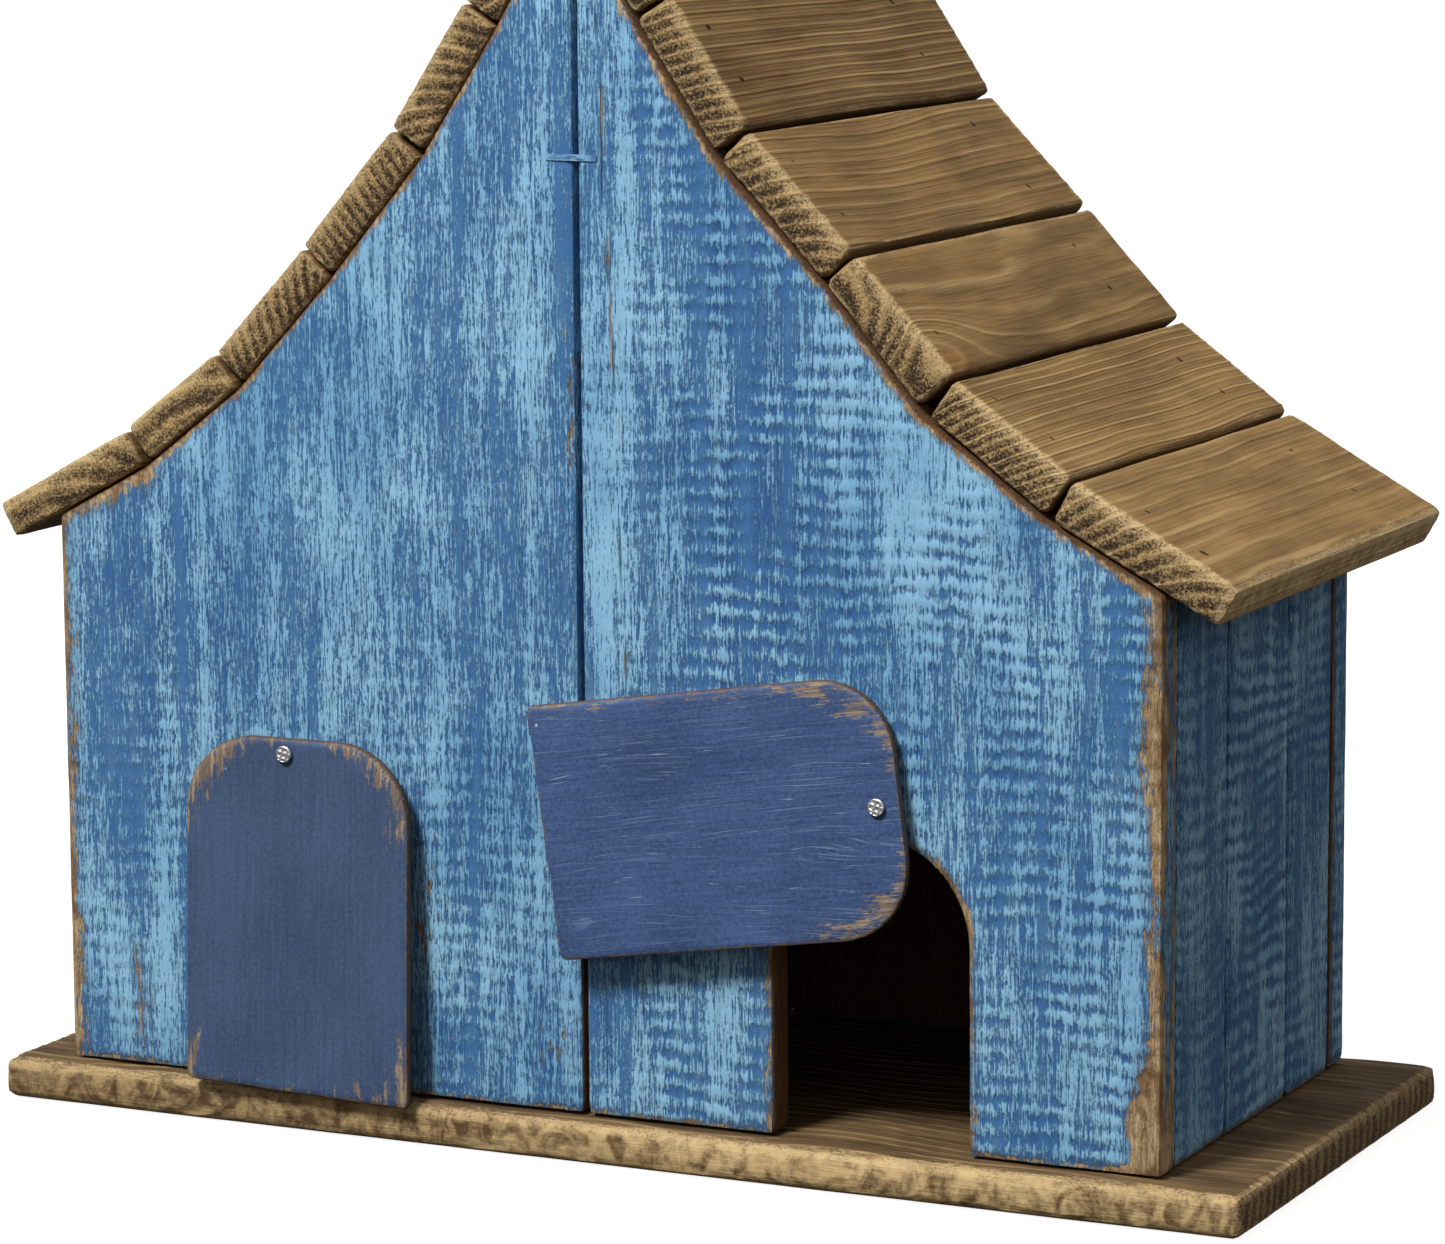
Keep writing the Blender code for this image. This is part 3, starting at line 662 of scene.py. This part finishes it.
# Uneven spots on the front wall. Each has its place as shares of the wall's width and height, its half width
# and half height as the same shares, and its strength.
FRONT_TONES = {
    "pale strip beside the seam": (0.52, 0.6, 0.015, 0.25, 1.0),
    "dark column in the right plank": (0.65, 0.5, 0.04, 0.2, -1.0),
    "pale under the right gable": (0.8, 0.55, 0.08, 0.08, 1.0),
    "pale under the left gable": (0.2, 0.55, 0.1, 0.1, 1.0),
    "dark beside the left edge": (0.1, 0.4, 0.05, 0.12, -1.0),
    "pale at the left foot": (0.05, 0.1, 0.06, 0.1, 0.7),
}
WORN_PLACES = {
    "right foot corner": (0.98, 0.03, 0.02, 0.05, 5.0),
    "right edge, middle": (0.98, 0.35, 0.02, 0.05, 2.4),
    "right edge, top": (0.98, 0.5, 0.02, 0.04, 2.4),
    "left eave corner": (0.01, 0.55, 0.02, 0.03, 4.0),
}
CHIPPED_PLACES = {
    "right of the left door": (0.35, 0.15, 0.02, 0.08, 1.0),
    "left of the seam": (0.49, 0.6, 0.01, 0.1, 1.0),
    "foot of the seam": (0.47, 0.06, 0.03, 0.03, 0.8),
}


# How much a tone adds to the pale paint's cover, how far a worn place widens the bare edge, and how fast
# each place fades outwards.
TONE_STRENGTH = 0.11
WORN_REACH = 0.6
FADE = 0.8


def patches(places, across, height):
    """The summed strength of the places at each point, fading out round each one."""
    size = WALL_HIGH - WALL_LOW
    total = np.zeros(len(across))
    for x, z, wide, tall, amount in places.values():
        sideways = (across - WALL_LOW.x - x * size.x) / (wide * size.x)
        upward = (height - WALL_LOW.z - z * size.z) / (tall * size.z)
        total += amount * np.exp(-FADE * (sideways**2 + upward**2))
    return total


def gable_board(node, front, chatter, seed, voxel):
    """A front or back plank: painted outside, bare inside, round the doorway and under the roof."""
    board = Board(node, (Z_AXIS, X_AXIS, Y_AXIS), voxel, seed)
    board.values["edge"] = edge_distance(board.points, board.lines, gable_widths(board))
    outward = -board.normals[:, 2] if front else board.normals[:, 2]
    inside = np.clip((-outward - 0.5) / 0.2, 0, 1)
    height, across = board.points[:, 0], board.points[:, 1]
    in_doorway = (
        (height < WALL_LOW.z + DOORWAY_RISE)
        & (np.abs(board.normals[:, 2]) < 0.6)
        & (across > WALL_LOW.x + 8)
        & (across < WALL_HIGH.x - 8)
    )
    under_roof = (np.abs(board.normals[:, 2]) < 0.8) & (board.normals[:, 0] > 0.3)
    # These bare faces are drawn dark brown, partly painted shade for the inside, the doorway and under the
    # roof.
    board.values["bare"] = np.maximum(inside, in_doorway | under_roof)
    by_foot = np.clip((130 - height) / 60, 0, 1)
    by_seam = np.clip((np.abs(across - SEAM_X) - 8) / 14, 0.35, 1)
    share = chatter * (by_seam if across.mean() > 0 else 0.45 + 0.8 * by_foot)
    board.values["chatter"] = share
    if front:
        board.values["tint"] = TONE_STRENGTH * patches(FRONT_TONES, across, height)
        board.values["chips"] = patches(CHIPPED_PLACES, across, height)
        worn_back = WORN_REACH * patches(WORN_PLACES, across, height)
        board.values["edge"] = board.values["edge"] - worn_back
    board.values["ring"] = board.rings(200, 0, 8)
    if node == "front_plank_right":
        line_x = 8.4 - (height - 110) * 0.045 + noise_at(board.points, (0.03, 0, 0), 5) * 0.8
        crack = np.abs(across - line_x)
        cracked = (height > CRACK_SPAN[0]) & (height < CRACK_SPAN[1])
        board.values["crack"] = np.where(cracked, crack, 99.0)
    row = height + 3.5 * noise_at(board.points, (0.014, 0.028, 0.028), 7)
    board.values["row"] = row
    waves = 0.05 * share * (1 - np.sin(row * 2 * math.pi / CHATTER_PITCH)) * np.clip(outward, 0, 1)
    grain = 0.16 * np.abs(noise_at(board.local, (0.02, 0.35, 0.35), seed + 1, 3))
    board.wear(0.35, 1, (0.05, 0.12, 0.12))
    board.sink(waves + grain)
    return board.finish(WALL_PAINT, "blue_paint", "house", (seed * 310, seed * 57, seed * 23))


def side_board(node, chatter, seed, voxel):
    """A side plank: painted outside and bare inside."""
    board = Board(node, (Z_AXIS, Y_AXIS, X_AXIS), voxel, seed)
    widths = [0.5 if z < WALL_LOW.z + 2 else 0.12 for _, _, z in world_lines(board)]
    board.values["edge"] = edge_distance(board.points, board.lines, widths)
    left = node.startswith("left")
    outward = -board.normals[:, 2] if left else board.normals[:, 2]
    board.values["bare"] = np.clip((-outward - 0.5) / 0.2, 0, 1)
    board.values["chatter"] = np.full(len(board.points), chatter)
    row = board.points[:, 0] + 5 * noise_at(board.points, (0.02, 0.045, 0.045), 7)
    board.values["row"] = row
    waves = 0.05 * chatter * (1 - np.sin(row * 2 * math.pi / CHATTER_PITCH)) * np.clip(outward, 0, 1)
    grain = 0.18 * np.abs(noise_at(board.local, (0.02, 0.4, 0.4), seed + 1, 3))
    board.wear(0.35, 1, (0.05, 0.12, 0.12))
    board.sink(waves + grain)
    return board.finish(WALL_PAINT, "blue_paint", "house", (seed * 310, seed * 57, seed * 23))


def slat_axes(node):
    """A roof slat's axes: along the grain, down the slope, and out of its top face."""
    areas = {}
    for face in NODES[node].data.polygons:
        normal = face.normal
        if abs(normal.y) < 0.1 and normal.z > 0.2:
            key = (round(normal.x, 2), round(normal.z, 2))
            areas[key] = areas.get(key, 0) + face.area
    out = max(areas, key=areas.get)
    out = Vector((out[0], 0, out[1])).normalized()
    down = Vector((out.z, 0, -out.x)) * (1 if out.x > 0 else -1)
    return Y_AXIS, down, out


def slat_board(node, seed, pith, period, tone, figure, knot=None):
    """A roof slat, with its grain bent round a knot (along, across, push, reach) if it has one."""
    board = Board(node, slat_axes(node), 1.1, seed)
    local, half = board.local, board.half
    eave = node.endswith("slat_1")
    widths = []
    for along, across, through in board.lines.mean(1) - board.middle:
        front_arris = abs(along) > half[0] - 3 and through > half[2] - 3
        eave_arris = eave and across > half[1] - 5
        widths.append(1.3 if front_arris or eave_arris else 0.3)
    board.values["edge"] = edge_distance(board.points, board.lines, widths)
    ring = board.rings(pith[0], pith[1], pith[2])
    if knot:
        away = np.hypot((local[:, 0] - knot[0]) / 2.4, local[:, 1] - knot[1])
        ring = ring + knot[2] * np.exp(-((away / knot[3]) ** 2))
        amber = 1.1 - np.hypot((local[:, 0] - knot[0]) / 16, (local[:, 1] - knot[1] - 6) / 8)
        board.values["amber"] = np.clip(amber, 0, 0.8)
    board.values["ring"] = ring * ROOF_RING_PITCH / period
    board.values["end"] = board.grain_end
    # Painted shade: the end grain is drawn lighter towards the top face and darker towards the underside.
    board.values["rise"] = local[:, 2] / half[2]
    board.values["figure"] = np.full(len(local), figure)
    sides = np.clip((np.abs(board.normals[:, 1]) - 0.6) / 0.2, 0, 1)
    # Partly painted light: the eave slat's low face takes the pale sawn colours in place of light falling on
    # it.
    low_face = np.clip((board.normals[:, 1] - 0.5) / 0.3, 0, 1) if eave else np.zeros(len(local))
    board.values["sawn"] = low_face
    board.values["tone"] = np.maximum(tone, sides - low_face)
    lines = (0.5 + 0.5 * np.sin(ring * 2 * math.pi / period)) ** 3
    ridges = (0.14 * figure * (1 - board.grain_end) + 0.24 * board.grain_end) * (1 - lines)
    torn = 0.35 * np.abs(noise_at(local, (0.5, 0.5, 0.5), seed + 2, 3)) * board.grain_end
    hollow = 0.25 * np.abs(noise_at(local, (0.015, 0.06, 0.06), seed + 5, 2))
    board.wear(0.4, 1, (0.05, 0.2, 0.2))
    board.sink(ridges + torn + hollow)
    return board.finish(ROOF_TIMBER, "roof_timber", "house", (seed * 250, seed * 91, seed * 37))


def base_board():
    """The base board: grooved grain on top, and a pale sawn front face, darker towards the left."""
    board = Board("base_board", (X_AXIS, Y_AXIS, Z_AXIS), 1.5, 71)
    local = board.local
    widths = []
    for middle in board.lines.mean(1):
        top_front = middle[1] < board.low[1] + 4 and middle[2] > board.high[2] - 4
        widths.append(1.7 if top_front else 0.9)
    board.values["edge"] = edge_distance(board.points, board.lines, widths)
    ring = board.rings(-230, 20, 9)
    front = np.clip((-board.normals[:, 1] - 0.5) / 0.3, 0, 1)
    board.values["ring"] = ring
    board.values["end"] = board.grain_end
    board.values["sawn"] = front
    board.values["tone"] = np.clip(0.3 - local[:, 0] / board.half[0], 0, 1) * 0.7 * front
    board.values["figure"] = np.ones(len(local))
    under = np.clip((-board.normals[:, 2] - 0.5) / 0.3, 0, 1)
    grooves = (0.5 + 0.5 * np.sin(ring * 2 * math.pi / BASE_RING_PITCH)) ** 2
    ridges = 0.35 * (1 - grooves) * (1 - board.grain_end) * (1 - under) * (1 - front)
    dents = 0.55 * np.clip(noise_at(local, (0.09, 0.1, 0.16), 73, 3), 0, 1) * front
    torn = 0.3 * np.abs(noise_at(local, (0.5, 0.5, 0.5), 75, 3)) * board.grain_end
    top_front = (local[:, 1] < -board.half[1] + 6) & (local[:, 2] > 0)
    board.wear(0.6, 1, (0.035, 0.1, 0.1))
    board.wear(0.8 * top_front, 4, (0.03, 0.08, 0.08))
    board.sink(ridges + dents + torn)
    return board.finish(BASE_TIMBER, "base_timber", "house", (11, 7, 3))


def door_axes(joint, swing):
    """A door's axes: up its height, across it, and out of its face, with its swing from hanging straight."""
    out = Vector(JOINTS[joint]["axis"]).normalized()
    up = (Z_AXIS - out * out.z).normalized()
    turn = Matrix.Rotation(-swing, 3, out)
    return turn @ up, turn @ X_AXIS, out


def door_board(node, joint, swing, paint, seed):
    """A plywood door, rubbed round its top corners and along its foot or side."""
    board = Board(node, door_axes(joint, swing), 0.8, seed)
    local = board.local
    outward = board.normals[:, 2]
    board.values["edge"] = edge_distance(board.points, board.lines, [0.8] * len(board.lines))
    board.values["end"] = np.clip((0.75 - np.abs(outward)) / 0.3, 0, 1)
    height, across = local[:, 0] / board.half[0], local[:, 1] / board.half[1]
    corner = np.hypot(local[:, 1], np.maximum(local[:, 0] - board.half[0] + 26, 0)) - board.half[1] + 7
    rim = np.clip(corner / 6, 0, 1) * np.clip((height - 0.3) / 0.2, 0, 1)
    if node == "left_door":
        foot = np.clip((-0.45 - height) / 0.3, 0, 1)
        low_sides = foot * np.clip((np.abs(across) - 0.7) / 0.25, 0, 1)
        low_edge = np.clip((-0.8 - height) / 0.2, 0, 1) * 0.85
        board.values["rim"] = np.maximum.reduce([rim, low_sides, low_edge])
    else:
        left_side = np.clip((-across - 0.85) / 0.12, 0, 1) * 0.8
        board.values["rim"] = np.maximum(rim * 0.9, left_side)
    grain = 0.05 * np.abs(noise_at(local, (0.03, 0.8, 0.8), seed, 2))
    board.wear(0.7, 1, (0.1, 0.1, 0.1))
    board.sink(grain)
    return board.finish(paint, "door_paint", node, (seed * 110, seed * 61, 0))


LEFT_DOOR_HANG = math.radians(-0.8)
RIGHT_DOOR_HANG = math.radians(81.5)


def build_boards():
    """Every board, each with a seed of its own."""
    gable_board("front_plank_left", True, 0.45, 1, 1.2)
    gable_board("front_plank_right", True, 1.15, 2, 1.2)
    gable_board("back_plank_left", False, 0.6, 3, 2.2)
    gable_board("back_plank_right", False, 0.9, 4, 2.2)
    for number, place in enumerate(("front", "middle", "back")):
        side_board(f"right_side_plank_{place}", (0.7, 1.4, 0.9)[number], 10 + number, 1.5)
        side_board(f"left_side_plank_{place}", (1.0, 0.8, 1.2)[number], 20 + number, 1.5)
    # Each slat's pith (across, through, wander), ring spacing, darkening, figure, and knot if it has one.
    slats = {
        "right_roof_slat_6": ((40, -30, 2.2), 3.6, 0.25, 0.8, None),
        "right_roof_slat_5": ((60, -20, 1.2), 2.7, 0.4, 0.9, None),
        "right_roof_slat_4": ((40, -26, 2.5), 3.4, 0.18, 0.5, None),
        "right_roof_slat_3": ((-14, -14, 4), 6.0, 0.12, 0.6, (-66, 10, 14, 9)),
        "right_roof_slat_2": ((70, -40, 1.2), 2.2, 0.0, 0.8, None),
        "right_roof_slat_1": ((34, -30, 1.2), 3.4, 0.0, 0.5, None),
        "left_roof_slat_6": ((40, -30, 2), 3.6, 0.2, 0.8, None),
        "left_roof_slat_5": ((30, -20, 3), 3.4, 0.3, 0.7, None),
        "left_roof_slat_4": ((-60, -10, 2), 2.6, 0.25, 0.9, None),
        "left_roof_slat_3": ((-50, -30, 2), 2.8, 0.15, 0.9, None),
        "left_roof_slat_2": ((6, -34, 3), 6.0, 0.05, 0.7, None),
        "left_roof_slat_1": ((14, -40, 3), 5.2, 0.0, 0.7, None),
    }
    for number, (node, (pith, period, tone, figure, knot)) in enumerate(slats.items()):
        slat_board(node, 30 + number, pith, period, tone, figure, knot)
    base_board()
    door_board("left_door", "left_door_swing", LEFT_DOOR_HANG, LEFT_DOOR_PAINT, 51)
    door_board("right_door", "right_door_swing", RIGHT_DOOR_HANG, RIGHT_DOOR_PAINT, 52)


build_boards()


# ---------------------------------------------------------------- fasteners


def joined_piece(name, work, material, body, smooth=False):
    """Makes one piece of a finished bmesh and hands it to the frame."""
    mesh = bpy.data.meshes.new(name)
    bmesh.ops.recalc_face_normals(work, faces=work.faces)
    work.to_mesh(mesh)
    work.free()
    if smooth:
        mesh.shade_smooth()
    mesh.materials.append(material)
    piece = bpy.data.objects.new(name, mesh)
    link(piece)
    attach(piece, body)
    return piece


def checkered_nail(node, joint, material):
    """A door nail: a round head with a raised grid pressed into it, and its pointed shank."""
    out = Vector(JOINTS[joint]["axis"]).normalized()
    points = [Vector(vertex.co) for vertex in NODES[node].data.vertices]
    far = max(point.dot(out) for point in points)
    near = min(point.dot(out) for point in points)
    middle = Vector(JOINTS[joint]["pos_m"])
    top = middle + out * (far - middle.dot(out))
    across = out.cross(Z_AXIS).normalized()
    up = across.cross(out).normalized()
    radius = 1.98 * MM
    work = bmesh.new()
    rings = [0.2, 0.4, 0.6, 0.8, 1.0, 1.15, 1.3, 1.45, 1.6, 1.75, 1.88, 1.95, 1.98]
    steps = 64
    loops = []
    for ring in rings:
        loop = []
        for step in range(steps):
            angle = 2 * math.pi * step / steps
            x, y = ring * math.cos(angle), ring * math.sin(angle)
            grid = max(math.sin(x * 4.6 + y * 1.2), math.sin(y * 4.6 - x * 1.2))
            drop = 0.16 * (0.5 - 0.5 * grid) if ring < 1.7 else 0.02
            drop += 0.2 * max(0.0, (ring - 1.75) / 0.23) ** 2
            place = top + (across * x + up * y - out * drop) * MM
            loop.append(work.verts.new(place))
        loops.append(loop)
    centre = work.verts.new(top - out * 0.08 * MM)
    for first, second in zip(loops[0], loops[0][1:] + loops[0][:1]):
        work.faces.new((centre, first, second))
    head_under = 0.8 * MM
    point_length = 2 * MM
    shank = 0.9 * MM
    length = far - near
    for size, depth in (
        (radius, head_under - 0.05 * MM),
        (radius - 0.05 * MM, head_under),
        (shank, head_under),
        (shank, length - point_length),
        (0.05 * MM, length),
    ):
        loop = []
        for step in range(steps):
            angle = 2 * math.pi * step / steps
            place = top - out * depth + (across * math.cos(angle) + up * math.sin(angle)) * size
            loop.append(work.verts.new(place))
        loops.append(loop)
    for inner, outer in zip(loops, loops[1:]):
        for step in range(steps):
            following = (step + 1) % steps
            work.faces.new((inner[step], outer[step], outer[following], inner[following]))
    work.faces.new(loops[-1])
    piece = joined_piece("checkered_" + node, work, material, "house")
    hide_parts(node)
    return piece


# A brad's hole: its length, width and height, and how far its middle lies under the slat's top face.
BRAD_SIZE = (3.0 * MM, 1.9 * MM, 1.0 * MM)
BRAD_SINK = 0.52 * MM


def roof_brads():
    """Small sunk brads, two at each end of each slat, seen as dark slots in the timber: partly painted
    shade.
    """
    draw = random.Random(7)
    work = bmesh.new()
    for side in ("left", "right"):
        for number in range(1, 7):
            node = f"{side}_roof_slat_{number}"
            _, down, out = slat_axes(node)
            low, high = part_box(node)
            points = [Vector(vertex.co) for vertex in NODES[node].data.vertices]
            top = max(point.dot(out) for point in points)
            slope_places = [point.dot(down) for point in points if point.dot(out) > top - 1.5 * MM]
            upper, lower = min(slope_places), max(slope_places)
            for y_share in (0.075, 0.82):
                for share in (0.27, 0.72):
                    y = low.y + (high.y - low.y) * (y_share + draw.uniform(-0.02, 0.02))
                    along = upper + (lower - upper) * (share + draw.uniform(-0.07, 0.07))
                    centre = down * along + out * (top - BRAD_SINK)
                    centre.y = y
                    turn = Matrix((Y_AXIS, down, out)).transposed().to_4x4()
                    spin = Matrix.Rotation(draw.uniform(0.3, 1.2), 4, "Z")
                    size = Matrix.Diagonal((*BRAD_SIZE, 1))
                    place = Matrix.Translation(centre) @ turn @ spin @ size
                    made = bmesh.ops.create_icosphere(work, subdivisions=2, radius=0.5)
                    bmesh.ops.transform(work, matrix=place, verts=made["verts"])
    return joined_piece("roof_brads", work, BRAD_HOLE, "house", smooth=True)


checkered_nail("left_door_nail", "left_door_swing", ZINC)
checkered_nail("right_door_nail", "right_door_swing", ZINC)
roof_brads()
for staple in ("front_seam_staple", "back_seam_staple"):
    NODES[staple].data.materials.clear()
    NODES[staple].data.materials.append(STAPLE_PAINT)
for name, node in NODES.items():
    if name.startswith("base_nail"):
        node.data.materials.clear()
        node.data.materials.append(DULL_ZINC)


# ---------------------------------------------------------------- camera, light and floor


# The view: azimuth, elevation and roll in degrees, then its target, distance and lens.
VIEW_ANGLES = (25.875, 9.028, -0.412)
VIEW_TARGET = (3.136, -0.77, 116.479)
VIEW_DISTANCE = 1283.819 * MM
LENS = 135.6
STUDIO_STRENGTH = 0.48
FLOOR_GLOW = 0.9


def add_camera():
    """The viewing angle: 26 degrees round to the right and 9 degrees up, through a long lens."""
    azimuth, elevation, roll = (math.radians(angle) for angle in VIEW_ANGLES)
    target = Vector(VIEW_TARGET) * MM
    forward = Vector(
        (
            -math.sin(azimuth) * math.cos(elevation),
            math.cos(azimuth) * math.cos(elevation),
            -math.sin(elevation),
        )
    )
    level = Vector((math.cos(azimuth), math.sin(azimuth), 0))
    up = level.cross(forward)
    right = level * math.cos(roll) + up * math.sin(roll)
    up = up * math.cos(roll) - level * math.sin(roll)
    lens = bpy.data.cameras.new("camera")
    lens.sensor_fit = "HORIZONTAL"
    lens.sensor_width = 36
    lens.lens = LENS
    lens.clip_start = 0.01
    camera = bpy.data.objects.new("camera", lens)
    camera.matrix_world = Matrix.Translation(target - forward * VIEW_DISTANCE) @ Matrix(
        (right, up, -forward)
    ).transposed().to_4x4()
    link(camera)
    bpy.context.scene.camera = camera


def add_light(name, place, aim, size, power):
    """A round soft light."""
    lamp = bpy.data.lights.new(name, "AREA")
    lamp.shape = "DISK"
    lamp.size = size
    lamp.energy = power
    holder = bpy.data.objects.new(name, lamp)
    holder.location = place
    holder.rotation_euler = (Vector(aim) - Vector(place)).to_track_quat("-Z", "Y").to_euler()
    link(holder)


def add_world():
    """A dim studio above the floor, seen as plain white behind the object."""
    world = bpy.data.worlds.new("studio")
    world.use_nodes = True
    tree = world.node_tree
    tree.nodes.clear()
    out = tree.nodes.new("ShaderNodeOutputWorld")
    seen = tree.nodes.new("ShaderNodeBackground")
    seen.inputs["Color"].default_value = (1, 1, 1, 1)
    seen.inputs["Strength"].default_value = 1.0
    lit = tree.nodes.new("ShaderNodeBackground")
    lit.inputs["Strength"].default_value = STUDIO_STRENGTH
    height = tree.nodes.new("ShaderNodeSeparateXYZ")
    where = tree.nodes.new("ShaderNodeTexCoord")
    ramp = tree.nodes.new("ShaderNodeValToRGB")
    ramp.color_ramp.elements[0].position = 0.44
    ramp.color_ramp.elements[0].color = (0.16, 0.14, 0.12, 1)
    ramp.color_ramp.elements[1].position = 0.6
    ramp.color_ramp.elements[1].color = (1.0, 0.96, 0.92, 1)
    half = tree.nodes.new("ShaderNodeMath")
    half.operation = "MULTIPLY_ADD"
    half.inputs[1].default_value = 0.5
    half.inputs[2].default_value = 0.5
    camera_ray = tree.nodes.new("ShaderNodeLightPath")
    mix = tree.nodes.new("ShaderNodeMixShader")
    tree.links.new(where.outputs["Generated"], height.inputs[0])
    tree.links.new(height.outputs[2], half.inputs[0])
    tree.links.new(half.outputs[0], ramp.inputs[0])
    tree.links.new(ramp.outputs[0], lit.inputs["Color"])
    tree.links.new(camera_ray.outputs["Is Camera Ray"], mix.inputs[0])
    tree.links.new(lit.outputs[0], mix.inputs[1])
    tree.links.new(seen.outputs[0], mix.inputs[2])
    tree.links.new(mix.outputs[0], out.inputs["Surface"])
    bpy.context.scene.world = world


def add_floor():
    """A plain pale floor that takes only a faint shadow."""
    mesh = bpy.data.meshes.new("floor")
    work = bmesh.new()
    bmesh.ops.create_grid(work, x_segments=1, y_segments=1, size=12)
    work.to_mesh(mesh)
    work.free()
    floor = bpy.data.objects.new("floor", mesh)
    floor.location.z = -0.0002
    link(floor)
    shade = Shade("pale_floor")
    shade.shader.inputs["Base Color"].default_value = (0.3, 0.3, 0.3, 1)
    shade.shader.inputs["Roughness"].default_value = 0.9
    shade.shader.inputs["Specular IOR Level"].default_value = 0.0
    shade.shader.inputs["Emission Color"].default_value = (1, 1, 1, 1)
    shade.shader.inputs["Emission Strength"].default_value = FLOOR_GLOW
    mesh.materials.append(shade.material)
    floor.visible_diffuse = False
    floor.visible_glossy = False


bpy.context.scene.view_settings.view_transform = "Standard"
add_camera()
add_world()
add_floor()
add_light("key_light", (-0.42, -1.35, 1.75), (0, -0.02, 0.13), 0.55, 60)
